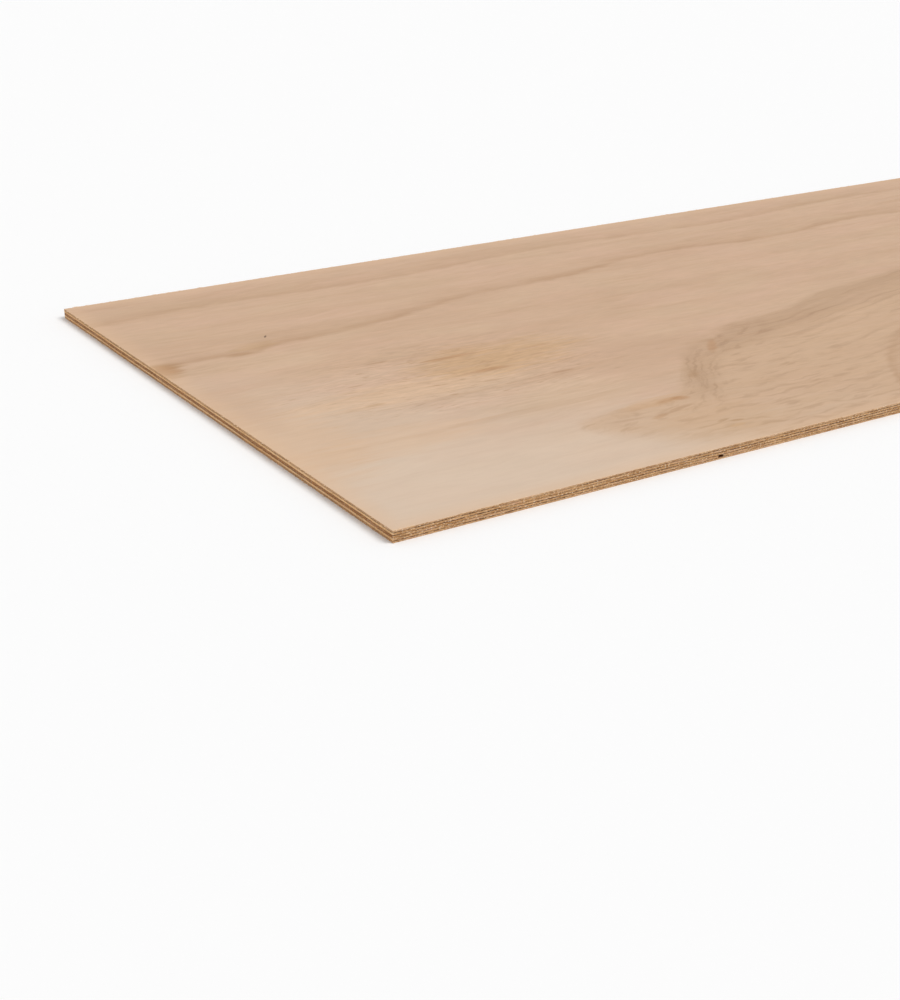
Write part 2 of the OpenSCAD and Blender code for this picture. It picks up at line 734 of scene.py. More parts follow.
@dataclass(frozen=True)
class FaceFinish:
    """The sanded face of an outer veneer: its tones and its rotary-cut figure."""

    # Broad tones
    NEAR = Cloud((190, 60, 60), detail=3)
    NEAR_REACH = 80.0
    FAR = Cloud((380, 150, 150), 2.0)
    FAR_REACH = -800.0
    FAR_RAMP = Ramp(480.0, 760.0)
    DEEP_RAMP = Ramp(0.0, 0.6, 0.2, 1.0)
    BANDS = Cloud((260, 30, 30), 4.0)
    BAND_RAMP = Ramp(0.4, 0.7, 0.0, 0.18)
    HUE = Cloud((90, 48, 48), 7.0)
    PINK_RAMP = Ramp(0.5, 0.68, 0.0, 0.35)
    OLIVE_RAMP = Ramp(0.5, 0.32, 0.0, 0.16)

    # Fine grain
    BUSY_FRAY = 1.5
    PATCHES = Cloud((150, 60, 60), 5.0)
    PATCH_RAMP = Ramp(0.36, 0.64, 0.3, 1.0)
    STREAK_RAMP = Ramp(0.46, 0.76)
    STREAK_STRENGTH = Ramp(0.0, 0.6, 0.03, 0.16)
    FIBRE_RAMP = Ramp(0.45, 0.8, 0.0, 0.06)
    BUSY_MOTTLE = 0.3
    DEEP_MOTTLE = 0.12
    LEAST_MOTTLE = 0.05
    BLOTCH = Cloud((34, 17, 17), 12.0)
    BLOTCH_REACH = 0.045
    BUSY_DASHES = 0.5
    LEAST_DASHES = 0.04

    pale: Colour
    tan: Colour
    pink: Colour
    olive: Colour
    streak: Colour
    lines: tuple[RingLine, ...]
    flames: tuple[Flame, ...]
    marks: tuple[FaceMark, ...]
    looks: OpenFace = OpenFace.UP
    lean: float = 0.7
    turn_start: float = 110.0
    turn_end: float = 470.0
    busy_place: Point = (205.0, 255.0)
    busy_size: Point = (190.0, 110.0)
    seed: float = 0.0

    def colour(self, sketch: NodeSketch, groups: WoodGroups, place: Socket, fibre: bpy.types.Node) -> Socket:
        """Draws the face.

        Args:
            sketch: The material's tree.
            groups: The shared groups.
            place: Where on the sheet, in millimetres from its near corner.
            fibre: The fine grain.

        Returns:
            The colour of the face.
        """
        wood, depth = self._tone(sketch, place)
        for flame in self.flames:
            wood = flame.draw(sketch, place, wood)
        for line in self.lines:
            wood = line.draw(sketch, place, wood, self.streak)
        for mark in self.marks:
            wood = mark.draw(sketch, groups, place, wood)
        busy = groups.mark(sketch, place, self.busy_place, self.busy_size, self.BUSY_FRAY)
        patches = sketch.ease(sketch.noise(place, self.PATCHES, self.seed), self.PATCH_RAMP)
        strength = sketch.product(sketch.ease(depth, self.STREAK_STRENGTH), patches)
        streaky = sketch.ease(fibre.outputs["Streak"], self.STREAK_RAMP)
        wood = sketch.tint(sketch.product(streaky, strength), wood, self.streak)
        wood = sketch.tint(sketch.ease(fibre.outputs["Fibre"], self.FIBRE_RAMP), wood, self.streak)
        busy_mottle = sketch.product(busy, self.BUSY_MOTTLE)
        mottle = sketch.total(busy_mottle, sketch.product(depth, self.DEEP_MOTTLE), self.LEAST_MOTTLE)
        ripple = sketch.math("SUBTRACT", fibre.outputs["Fleck"], sketch.NOISE_MEAN)
        blotch = sketch.waver(place, self.BLOTCH, self.BLOTCH_REACH, self.seed)
        wood = sketch.scale(wood, sketch.total(sketch.product(ripple, mottle), blotch, 1.0))
        dashes = sketch.math("MULTIPLY_ADD", busy, self.BUSY_DASHES, self.LEAST_DASHES)
        return sketch.tint(sketch.product(fibre.outputs["Dash"], dashes), wood, self.streak)

    def _tone(self, sketch: NodeSketch, place: Socket) -> tuple[Socket, Socket]:
        """Draws the broad tones: pale by the near corner and tan beyond, with soft bands and patches.

        Args:
            sketch: The material's tree.
            place: Where on the sheet, in millimetres from its near corner.

        Returns:
            The colour, and how far it has turned from pale to tan.
        """
        x, y, _ = sketch.split(place)
        near = sketch.waver(place, self.NEAR, self.NEAR_REACH, self.seed)
        far = sketch.waver(place, self.FAR, self.FAR_REACH, self.seed)
        unseen = sketch.product(far, sketch.ease(x, self.FAR_RAMP))
        way = sketch.total(y, sketch.product(x, self.lean), near, unseen)
        depth = sketch.ease(way, Ramp(self.turn_start, self.turn_end))
        deep = sketch.ease(depth, self.DEEP_RAMP)
        bands = sketch.noise(place, self.BANDS, self.seed)
        hue = sketch.noise(place, self.HUE, self.seed)
        wood = sketch.tint(depth, self.pale, self.tan)
        for cloud, ramp, colour in (
            (bands, self.BAND_RAMP, self.streak),
            (hue, self.PINK_RAMP, self.pink),
            (hue, self.OLIVE_RAMP, self.olive),
        ):
            wood = sketch.tint(sketch.product(sketch.ease(cloud, ramp), deep), wood, colour)
        return wood, depth


@dataclass(frozen=True)
class PlyWood:
    """The wood of one ply: its grain, and the colours of its side grain, end grain and open face."""

    # A surface faces a way from this share of its normal on
    FACING = Ramp(0.45, 0.75)

    # Sawn edges, with strengths on the long sides and on the short ends
    STREAK_RAMP = Ramp(0.35, 0.75)
    FIBRE_RAMP = Ramp(0.42, 0.72, 0.0, 0.6)
    FLECK_RAMP = Ramp(0.54, 0.7, 0.0, 0.6)
    BAND_RAMP = Ramp(0.4, 0.66, 0.0, 0.6)
    PORE_START = 0.48
    PORE_END = 0.68
    SAW_RAMP = Ramp(0.3, 0.75, 0.88, 1.07)
    SMOOTH_RAMP = Ramp(0.52, 0.7)
    DARK_RAMP = Ramp(0.47, 0.3)
    PATCH_STRENGTH = (0.5, 0.35)
    GLUE_STRENGTH = (1.0, 0.72)
    TUFT_STRENGTH = (0.75, 0.42)
    # Hidden faces inside the sheet and the walls of the gap between crossband strips: dark brown glue stain,
    # and painted shade in the gap
    GLUE_STAIN_AND_SHADE_STRENGTH = 0.8

    # Open faces
    RIM_STRENGTH = 0.45
    LIFTED_RAMP = Ramp(0.0, 1.0, 0.5, 0.3)

    # Gloss and relief
    GLOSS = 0.3
    ROUGH_START = 0.2
    ROUGH_END = 0.8
    ROUGH_REACH = 0.06
    SAW_RELIEF = 0.7
    FIBRE_RELIEF = 0.3
    RELIEF_STRENGTH = 0.6
    RELIEF_DEPTH = 0.25 * MM

    name: str
    grain: Grain
    side_colour: Colour
    side_streak: Colour
    end_colour: Colour
    end_pore: Colour
    pores: float = 0.38
    glue_colour: Colour = srgb(56, 25, 6)
    blush_colour: Colour = srgb(202, 160, 132)
    # Glue stain on hidden faces, also painted shade on the walls of the gap between crossband strips
    glue_stain_and_shade_colour: Colour = srgb(150, 82, 24)
    tuft_colour: Colour = srgb(246, 222, 192)
    lifted_colour: Colour = srgb(228, 190, 146)
    rim_colour: Colour = srgb(218, 182, 148)
    roughness: float = 0.72
    face: Optional[FaceFinish] = None

    def material(self, groups: WoodGroups, corner: Vector, size: Vector) -> bpy.types.Material:
        """Builds the material.

        Args:
            groups: The shared groups.
            corner: The sheet's near corner on the floor, in metres.
            size: The sheet's length, width and thickness, in metres.

        Returns:
            The material.
        """
        made = bpy.data.materials.new(self.name)
        made.use_nodes = True
        made.node_tree.nodes.clear()
        sketch = NodeSketch(made.node_tree)
        where = sketch.node("ShaderNodeTexCoord")
        scaled = sketch.node("ShaderNodeMapping")
        sketch.feed(scaled.inputs["Vector"], where.outputs["Object"])
        scaled.inputs["Scale"].default_value = (1 / MM, 1 / MM, 1 / MM)
        scaled.inputs["Location"].default_value = tuple(-part / MM for part in corner)
        place = scaled.outputs[0]
        x, y, z = sketch.split(place)
        grain_place = place if self.grain is Grain.ALONG else sketch.join(y, x, z)
        fibre = sketch.group(groups.fibre, Grain=grain_place)
        edge = sketch.group(groups.sawn_edge, Vector=place)
        fray = sketch.group(groups.arris, Vector=place, Size=tuple(part / MM for part in size))
        facing = sketch.split(where.outputs["Normal"])
        end = sketch.ease(sketch.math("ABSOLUTE", facing[self.grain.value]), self.FACING)
        upright = self._by_facing(sketch, sketch.math("ABSOLUTE", facing[2]), (1.0, 0.0))

        wood = sketch.tint(end, self._side_grain(sketch, fibre, edge), self._end_grain(sketch, edge))
        wood = self._sawn(sketch, edge, sketch.math("ABSOLUTE", facing[0]), wood)
        # Tints faces inside the sheet dark brown: glue stain on hidden faces, and painted shade on the gap
        # walls
        glue_stain_and_shade = sketch.product(fray.outputs["Inner"], self.GLUE_STAIN_AND_SHADE_STRENGTH)
        wood = sketch.tint(glue_stain_and_shade, wood, self.glue_stain_and_shade_colour)
        if self.face:
            rim = sketch.product(fray.outputs["Rim"], self.RIM_STRENGTH)
            open_face = sketch.tint(rim, self.face.colour(sketch, groups, place, fibre), self.rim_colour)
            looks_out = sketch.ease(sketch.product(facing[2], self.face.looks.value), self.FACING)
            wood = sketch.tint(looks_out, wood, open_face)
            lifted = sketch.product(fray.outputs["Mask"], sketch.ease(upright, self.LIFTED_RAMP))
            wood = sketch.tint(lifted, wood, self.lifted_colour)

        shader = sketch.node("ShaderNodeBsdfPrincipled")
        sketch.feed(shader.inputs["Base Color"], wood)
        bounds = (self.roughness - self.ROUGH_REACH, self.roughness + self.ROUGH_REACH)
        rough = sketch.ease(fibre.outputs["Streak"], Ramp(self.ROUGH_START, self.ROUGH_END, *bounds))
        sketch.feed(shader.inputs["Roughness"], rough)
        shader.inputs["Specular IOR Level"].default_value = self.GLOSS
        sketch.feed(shader.inputs["Normal"], self._relief(sketch, fibre, edge, end, upright))
        output = sketch.node("ShaderNodeOutputMaterial")
        sketch.feed(output.inputs["Surface"], shader.outputs["BSDF"])
        return made

    def _by_facing(self, sketch: NodeSketch, facing: Socket, strengths: Point) -> Socket:
        """Gives one strength on surfaces that face another way, and another on those that face this way."""
        return sketch.ease(facing, Ramp(self.FACING.start, self.FACING.end, *strengths))

    def _side_grain(self, sketch: NodeSketch, fibre: bpy.types.Node, edge: bpy.types.Node) -> Socket:
        """Draws plain side grain with torn flecks, and returns its colour."""
        streaks = sketch.ease(fibre.outputs["Streak"], self.STREAK_RAMP)
        wood = sketch.tint(streaks, self.side_colour, self.side_streak)
        wood = sketch.tint(sketch.ease(fibre.outputs["Fibre"], self.FIBRE_RAMP), wood, self.side_streak)
        return sketch.tint(sketch.ease(edge.outputs["Pore"], self.FLECK_RAMP), wood, self.end_pore)

    def _end_grain(self, sketch: NodeSketch, edge: bpy.types.Node) -> Socket:
        """Draws end grain, with its rings nearly flat along the ply, and returns its colour."""
        bands = sketch.ease(edge.outputs["Band"], self.BAND_RAMP)
        wood = sketch.tint(bands, self.end_colour, self.end_pore)
        pores = sketch.ease(edge.outputs["Pore"], Ramp(self.PORE_START, self.PORE_END, 0.0, self.pores))
        return sketch.tint(pores, wood, self.end_pore)

    def _sawn(self, sketch: NodeSketch, edge: bpy.types.Node, short_end: Socket, wood: Socket) -> Socket:
        """Lays the saw's strokes, smooth and dark patches, glue lines and tufts on the wood of an edge.

        Args:
            sketch: The material's tree.
            edge: The marks of the sawn edge.
            short_end: How far the surface faces along the sheet, as its short ends do.
            wood: The colour below.

        Returns:
            The colour with the marks.
        """
        wood = sketch.scale(wood, sketch.ease(edge.outputs["Saw"], self.SAW_RAMP))
        smooth = sketch.ease(edge.outputs["Patch"], self.SMOOTH_RAMP)
        dark = sketch.ease(edge.outputs["Patch"], self.DARK_RAMP)
        for mask, strengths, colour in (
            (smooth, self.PATCH_STRENGTH, self.blush_colour),
            (dark, self.PATCH_STRENGTH, self.end_pore),
            (edge.outputs["Glue"], self.GLUE_STRENGTH, self.glue_colour),
            (edge.outputs["Tuft"], self.TUFT_STRENGTH, self.tuft_colour),
        ):
            strength = self._by_facing(sketch, short_end, strengths)
            wood = sketch.tint(sketch.product(mask, strength), wood, colour)
        return wood

    def _relief(
        self, sketch: NodeSketch, fibre: bpy.types.Node, edge: bpy.types.Node, end: Socket, upright: Socket
    ) -> Socket:
        """Draws the finest relief: sanded fibres on the faces, saw strokes and pores on the edges.

        Args:
            sketch: The material's tree.
            fibre: The fine grain.
            edge: The marks of the sawn edge.
            end: Where end grain shows.
            upright: Where the surface is an edge.

        Returns:
            The normal.
        """
        pores = sketch.product(edge.outputs["Pore"], end)
        strokes = sketch.math("MULTIPLY_ADD", edge.outputs["Saw"], self.SAW_RELIEF, pores)
        cut = sketch.product(strokes, upright)
        bump = sketch.node("ShaderNodeBump")
        bump.inputs["Strength"].default_value = self.RELIEF_STRENGTH
        bump.inputs["Distance"].default_value = self.RELIEF_DEPTH
        height = sketch.math("MULTIPLY_ADD", fibre.outputs["Fibre"], self.FIBRE_RELIEF, cut)
        sketch.feed(bump.inputs["Height"], height)
        return bump.outputs["Normal"]


@dataclass(frozen=True)
class FibreFinish:
    """The dry pale fibre that the saw has torn loose."""

    CLOUD = Cloud((4 * MM, 2 * MM, 2 * MM))
    TAN_RAMP = Ramp(0.4, 0.7)

    name: str = "torn_fibre"
    pale: Colour = srgb(240, 216, 184)
    tan: Colour = srgb(214, 178, 138)
    roughness: float = 0.8

    def material(self) -> bpy.types.Material:
        """Gives the material, made once."""
        made = bpy.data.materials.get(self.name)
        if made is None:
            made = bpy.data.materials.new(self.name)
            made.use_nodes = True
            sketch = NodeSketch(made.node_tree)
            where = sketch.node("ShaderNodeTexCoord")
            tanned = sketch.ease(sketch.noise(where.outputs["Object"], self.CLOUD), self.TAN_RAMP)
            shader = made.node_tree.nodes["Principled BSDF"]
            sketch.feed(shader.inputs["Base Color"], sketch.tint(tanned, self.pale, self.tan))
            shader.inputs["Roughness"].default_value = self.roughness
        return made


# How far an edge or a face lies along an axis when it counts as straight along it, or just as steep
STRAIGHT = 0.99
STEEP = 0.5


def direction(edge: bmesh.types.BMEdge) -> Vector:
    """Gives the unit vector along an edge."""
    return (edge.verts[1].co - edge.verts[0].co).normalized()


def deselect_all() -> None:
    """Deselects every object."""
    bpy.ops.object.select_all(action="DESELECT")


def select(piece: bpy.types.Object, part: MeshPart, test: Callable[..., bool]) -> None:
    """Selects, in edit mode, only the edges or the faces that pass a test.

    Args:
        piece: The object in edit mode.
        part: What is selected.
        test: Says whether an edge or a face is selected.
    """
    bpy.ops.mesh.select_mode(type=part.name)
    bpy.ops.mesh.select_all(action="DESELECT")
    mesh = bmesh.from_edit_mesh(piece.data)
    for each in getattr(mesh, part.value):
        if test(each):
            each.select_set(True)
    bmesh.update_edit_mesh(piece.data)


@dataclass(frozen=True)
class Roughening:
    """A way of roughening a sawn edge by clouds of one size, plain or ramped from no push to a full one."""

    name: str
    size: float
    ramp: Optional[Point] = None
    layers: int = 2

    def texture(self) -> bpy.types.Texture:
        """Gives the cloud texture, made once."""
        made = bpy.data.textures.get(self.name)
        if made is None:
            made = bpy.data.textures.new(self.name, "CLOUDS")
            made.noise_scale = self.size
            made.noise_depth = self.layers
            if self.ramp:
                made.use_color_ramp = True
                for stop, place, grey in zip(made.color_ramp.elements, self.ramp, (0.0, 1.0)):
                    stop.position = place
                    stop.color = (grey, grey, grey, 1.0)
        return made

    def push(self, piece: bpy.types.Object, group: str, axis: int, reach: float) -> None:
        """Pushes some vertices of a piece along an axis.

        Args:
            piece: The piece.
            group: Name of the vertex group to push.
            axis: The number of the axis.
            reach: The greatest push, in metres, below zero to push against the axis.
        """
        modifier = piece.modifiers.new(self.name, "DISPLACE")
        modifier.texture = self.texture()
        modifier.texture_coords = "LOCAL"
        modifier.direction = "XYZ"[axis]
        modifier.vertex_group = group
        modifier.mid_level = 0.0
        modifier.strength = reach
        deselect_all()
        bpy.context.view_layer.objects.active = piece
        piece.select_set(True)
        bpy.ops.object.modifier_apply(modifier=modifier.name)


@dataclass
class Ply:
    """One veneer of the sheet, with sawn edges that are less torn and chipped along the grain."""

    TEAR = Roughening("torn", 0.9 * MM)
    DRIFT = Roughening("wander", 14 * MM)
    CHIPS = Roughening("chipped", 2.2 * MM, (0.6, 0.74))

    node: str
    slot: str
    wood: PlyWood
    open_face: OpenFace = OpenFace.NONE
    torn: float = 0.18 * MM
    torn_along_share: float = 0.4
    wander: float = 0.12 * MM
    chip: float = 0.36 * MM
    chip_along_share: float = 0.6
    chip_drop_share: float = 0.3
    arris: float = 0.12 * MM
    arris_reach: float = 0.3 * MM
    border: float = 1.5 * MM
    step: float = 1.3 * MM
    rows: int = 3

    def build(self) -> bpy.types.Object:
        """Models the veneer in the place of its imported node.

        Returns:
            The piece.
        """
        low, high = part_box(self.node)
        deselect_all()
        bpy.ops.mesh.primitive_cube_add(size=1, location=(low + high) / 2, calc_uvs=False)
        piece = bpy.context.active_object
        piece.name = f"{self.node}_sawn"
        piece.data.name = piece.name
        piece.scale = high - low
        bpy.ops.object.transform_apply(location=True, rotation=False, scale=True)
        self._cut_edges(piece, low, high)
        self._saw(piece, low, high)
        return piece

    def open_level(self) -> float:
        """Gives the height of the open face, in metres."""
        low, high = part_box(self.node)
        return high.z if self.open_face is OpenFace.UP else low.z

    def _cut_edges(self, piece: bpy.types.Object, low: Vector, high: Vector) -> None:
        """Breaks the arrises and divides the edges finely enough to be torn.

        Args:
            piece: The plain veneer.
            low: Its lowest corner.
            high: Its highest corner.
        """
        bpy.ops.object.mode_set(mode="EDIT")
        select(piece, MeshPart.EDGE, lambda edge: abs(direction(edge).z) < STEEP)
        bpy.ops.mesh.bevel(offset=self.arris, segments=1, affect="EDGES")
        select(piece, MeshPart.FACE, lambda face: abs(face.normal.z) > STRAIGHT)
        bpy.ops.mesh.inset(thickness=self.border, use_individual=True)
        bpy.ops.mesh.delete(type="ONLY_FACE")
        select(piece, MeshPart.EDGE, lambda edge: abs(direction(edge).z) > STRAIGHT)
        bpy.ops.mesh.subdivide(number_cuts=self.rows - 1)
        for axis in (0, 1):
            parts = max(2, round(math.sqrt((high[axis] - low[axis]) / self.step)))
            for _ in range(2):
                select(piece, MeshPart.EDGE, lambda edge: self._runs_along(edge, axis))
                bpy.ops.mesh.subdivide(number_cuts=parts - 1)
        for level in (low.z, high.z):
            select(piece, MeshPart.EDGE, lambda edge: self._is_rim(edge, level))
            bpy.ops.mesh.edge_face_add()
        bpy.ops.mesh.select_all(action="SELECT")
        bpy.ops.mesh.normals_make_consistent(inside=False)
        bpy.ops.object.mode_set(mode="OBJECT")

    def _runs_along(self, edge: bmesh.types.BMEdge, axis: int) -> bool:
        """Tells whether an edge runs along a side, and not just across its border."""
        return abs(direction(edge)[axis]) > STRAIGHT and edge.calc_length() > 2 * self.border

    def _is_rim(self, edge: bmesh.types.BMEdge, level: float) -> bool:
        """Tells whether an edge lies on the rim of the open hole at a level."""
        return edge.is_boundary and abs(edge.verts[0].co.z - level) < self.arris / 2

    def _saw(self, piece: bpy.types.Object, low: Vector, high: Vector) -> None:
        """Tears, wears and chips the edges, always inwards.

        Args:
            piece: The divided veneer.
            low: Its lowest corner.
            high: Its highest corner.
        """
        level = self.open_level()
        for side in Side:
            plane = (low, high)[side.sign > 0][side.axis]
            near = [spot for spot in piece.data.vertices if abs(spot.co[side.axis] - plane) < self.border / 2]
            top = [spot for spot in near if abs(spot.co.z - level) < self.arris_reach]
            whole = side.name.lower()
            arris = f"{whole}_arris"
            for name, spots in ((whole, near), (arris, top)):
                piece.vertex_groups.new(name=name).add([spot.index for spot in spots], 1.0, "REPLACE")
            across = side.axis == self.wood.grain.value
            torn = self.torn if across else self.torn * self.torn_along_share
            self.TEAR.push(piece, whole, side.axis, -side.sign * torn)
            self.DRIFT.push(piece, whole, side.axis, -side.sign * self.wander)
            if self.open_face is not OpenFace.NONE:
                chip = self.chip if across else self.chip * self.chip_along_share
                self.CHIPS.push(piece, arris, 2, -self.open_face.value * chip * self.chip_drop_share)
                self.CHIPS.push(piece, arris, side.axis, -side.sign * chip)


@dataclass
class TornFibres:
    """The torn fibres along the arrises of an outer ply: one is modelled, and copied at random."""

    # One fibre of unit size: its sides, tip, cuts and bends, each bend a height and a shift of what is above
    SIDES = 5
    TIP = 0.25
    CUTS = 2
    BENDS = ((0.34, 0.6), (0.67, 1.2))

    spacing: float = 7.0 * MM
    length: Point = (1.2 * MM, 5.5 * MM)
    end_share: float = 0.4
    width: Point = (0.07 * MM, 0.22 * MM)
    depth: Point = (0.02 * MM, 0.3 * MM)
    inset: Point = (0.1 * MM, 0.35 * MM)
    lift: Point = (-0.02, 0.1)
    slant: Point = (-0.4, 0.4)
    splay: Point = (0.0, 0.14)
    finish: FibreFinish = FibreFinish()

    def add_to(self, piece: bpy.types.Object, ply: Ply, chance: random.Random) -> int:
        """Sets fibres along the four arrises of a ply's open face, and joins them to its piece.

        Args:
            piece: The ply's piece.
            ply: The ply.
            chance: Where the random numbers come from.

        Returns:
            The number of fibres.
        """
        model = self._model()
        sides = [side for side in Side for _ in range(self._count(ply, side))]
        copies = [self._copy(model, ply, side, chance) for side in sides]
        bpy.data.objects.remove(model)
        deselect_all()
        for made in copies:
            made.select_set(True)
        piece.select_set(True)
        bpy.context.view_layer.objects.active = piece
        bpy.ops.object.join()
        return len(copies)

    def _count(self, ply: Ply, side: Side) -> int:
        """Gives the number of fibres along a side."""
        low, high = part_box(ply.node)
        return round((high - low)[1 - side.axis] / self.spacing)

    def _model(self) -> bpy.types.Object:
        """Models one fibre of unit length and width along z: a tapered sliver with a slight bend."""
        deselect_all()
        bpy.ops.mesh.primitive_cone_add(
            vertices=self.SIDES,
            radius1=1.0,
            radius2=self.TIP,
            depth=1.0,
            location=(0.0, 0.0, 0.5),
            calc_uvs=False,
        )
        made = bpy.context.active_object
        bpy.ops.object.transform_apply(location=True, rotation=False, scale=False)
        bpy.ops.object.mode_set(mode="EDIT")
        select(made, MeshPart.EDGE, lambda edge: abs(direction(edge).z) > STEEP)
        bpy.ops.mesh.subdivide(number_cuts=self.CUTS)
        for height, shift in self.BENDS:
            select(made, MeshPart.FACE, lambda face: face.calc_center_median().z > height)
            bpy.ops.transform.translate(value=(0.0, shift, 0.0))
        bpy.ops.object.mode_set(mode="OBJECT")
        made.data.materials.append(self.finish.material())
        return made

    def _copy(self, model: bpy.types.Object, ply: Ply, side: Side, chance: random.Random) -> bpy.types.Object:
        """Copies the fibre to a random place on an arris, lying along the grain.

        Args:
            model: The modelled fibre.
            ply: The ply.
            side: The side of the arris.
            chance: Where the random numbers come from.

        Returns:
            The copy, with its own mesh.
        """
        low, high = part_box(ply.node)
        made = model.copy()
        made.data = model.data.copy()
        bpy.context.scene.collection.objects.link(made)
        root = Vector((0.0, 0.0, ply.open_level() - ply.open_face.value * chance.uniform(*self.depth)))
        root[side.axis] = (low, high)[side.sign > 0][side.axis] - side.sign * chance.uniform(*self.inset)
        along = 1 - side.axis
        length = chance.uniform(*self.length)
        width = chance.uniform(*self.width)
        root[along] = chance.uniform(low[along] + length, high[along] - length)
        root.z = max(root.z, low.z + width)
        way = Vector((0.0, 0.0, max(0.0, ply.open_face.value * chance.uniform(*self.lift))))
        if side.axis == ply.wood.grain.value:
            way[side.axis] = side.sign
            way[along] = chance.uniform(*self.slant)
            length = length * self.end_share
        else:
            way[along] = chance.choice((-1, 1))
            way[side.axis] = side.sign * chance.uniform(*self.splay)
        made.location = root
        made.rotation_mode = "QUATERNION"
        made.rotation_quaternion = way.to_track_quat("Z", "Y")
        made.scale = (width, width, length)
        return made


@dataclass(frozen=True)
class MapPatch:
    """A rectangle of a flat map: one way of a box of the piece goes across it, and one goes up it."""

    left: float
    right: float
    bottom: float
    top: float
    across: Callable[[Vector], float]
    up: Callable[[Vector], float]

    def place(self, point: Vector) -> Point:
        """Gives the place on the map of a point of the piece."""
        return (
            self.left + self.across(point) * (self.right - self.left),
            self.bottom + self.up(point) * (self.top - self.bottom),
        )


@dataclass
class SurfaceMap:
    """The flat map that keeps a ply's finish: a large open face, edges in rows, and small hidden faces."""

    name: str = "OFBake"
    margin: float = 0.004
    hidden: float = 0.01
    open_rows: float = 0.2
    open_run: float = 610.0 * MM
    closed_run: float = 152.5 * MM
    lap: float = 2.0 * MM
    flat: float = 0.85

    def lay(self, piece: bpy.types.Object, ply: Ply) -> None:
        """Lays the map on a piece.

        Args:
            piece: The finished piece of the ply.
            ply: The ply.
        """
        low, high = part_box(ply.node)
        size = high - low
        is_open = ply.open_face is not OpenFace.NONE
        run = self.open_run if is_open else self.closed_run
        counts = {side: math.ceil(round(size[1 - side.axis] / run, 3)) for side in Side}
        floor = 2 * (self.hidden + self.margin)
        ceiling = floor + self.open_rows if is_open else 1.0
        height = (ceiling - floor) / (sum(counts.values()) + 1)

        def share(axis: int, start: float, length: float) -> Callable[[Vector], float]:
            """Gives how far a point is along a stretch of an axis, as a share of the stretch."""
            return lambda point: (point[axis] - start) / length

        def strip(bottom: float, top: float, across: Callable, up: Callable) -> MapPatch:
            """Gives a patch as broad as the map."""
            bounds = (bottom + self.margin / 2, top - self.margin / 2)
            return MapPatch(self.margin, 1 - self.margin, *bounds, across, up)

        along, over, thick = (share(axis, low[axis], size[axis]) for axis in range(3))
        flats = [strip(0.0, floor / 2, along, over), strip(floor / 2, floor, along, over)]
        if is_open:
            flats[ply.open_face is OpenFace.UP] = strip(ceiling, 1.0, along, over)
        rows: dict[Side, list[MapPatch]] = {}
        level = floor
        for side in Side:
            rows[side] = []
            for number in range(counts[side]):
                start = low[1 - side.axis] + number * run - self.lap
                cut = share(1 - side.axis, start, run + 2 * self.lap)
                rows[side].append(strip(level, level + height, cut, thick))
                level += height
        loose = strip(level, level + height, lambda point: (along(point) + over(point)) / 2, thick)

        def patch_of(face: bpy.types.MeshPolygon) -> MapPatch:
            """Picks the patch of a face by its finish, its normal and its place."""
            if face.material_index:
                return loose
            if abs(face.normal.z) > self.flat:
                return flats[face.normal.z > 0]
            side = max(Side, key=lambda side: face.normal[side.axis] * side.sign)
            number = int((face.center[1 - side.axis] - low[1 - side.axis]) / run)
            return rows[side][min(max(number, 0), counts[side] - 1)]

        spots = [point.co for point in piece.data.vertices]
        corners = [corner.vertex_index for corner in piece.data.loops]
        places = [0.0] * (2 * len(corners))
        for face in piece.data.polygons:
            patch = patch_of(face)
            for corner in face.loop_indices:
                places[2 * corner:2 * corner + 2] = patch.place(spots[corners[corner]])
        piece.data.uv_layers.new(name=self.name).uv.foreach_set("vector", places)


STREAK_BROWN = srgb(172, 134, 100)
MARK_BROWN = srgb(160, 120, 84)
RUST = srgb(174, 126, 82)
HONEY = srgb(197, 158, 115)
AMBER = srgb(206, 160, 112)
OLIVE_BROWN = srgb(162, 122, 78)
OLIVE_HONEY = srgb(182, 146, 98)
PALE_OLIVE = srgb(211, 182, 153)
FLAME_TAN = srgb(200, 167, 136)
FLAME_LINE = srgb(162, 128, 98)
SHADE = srgb(195, 161, 133)
WARM = srgb(212, 178, 146)
KNOT_DARK = srgb(70, 46, 28)

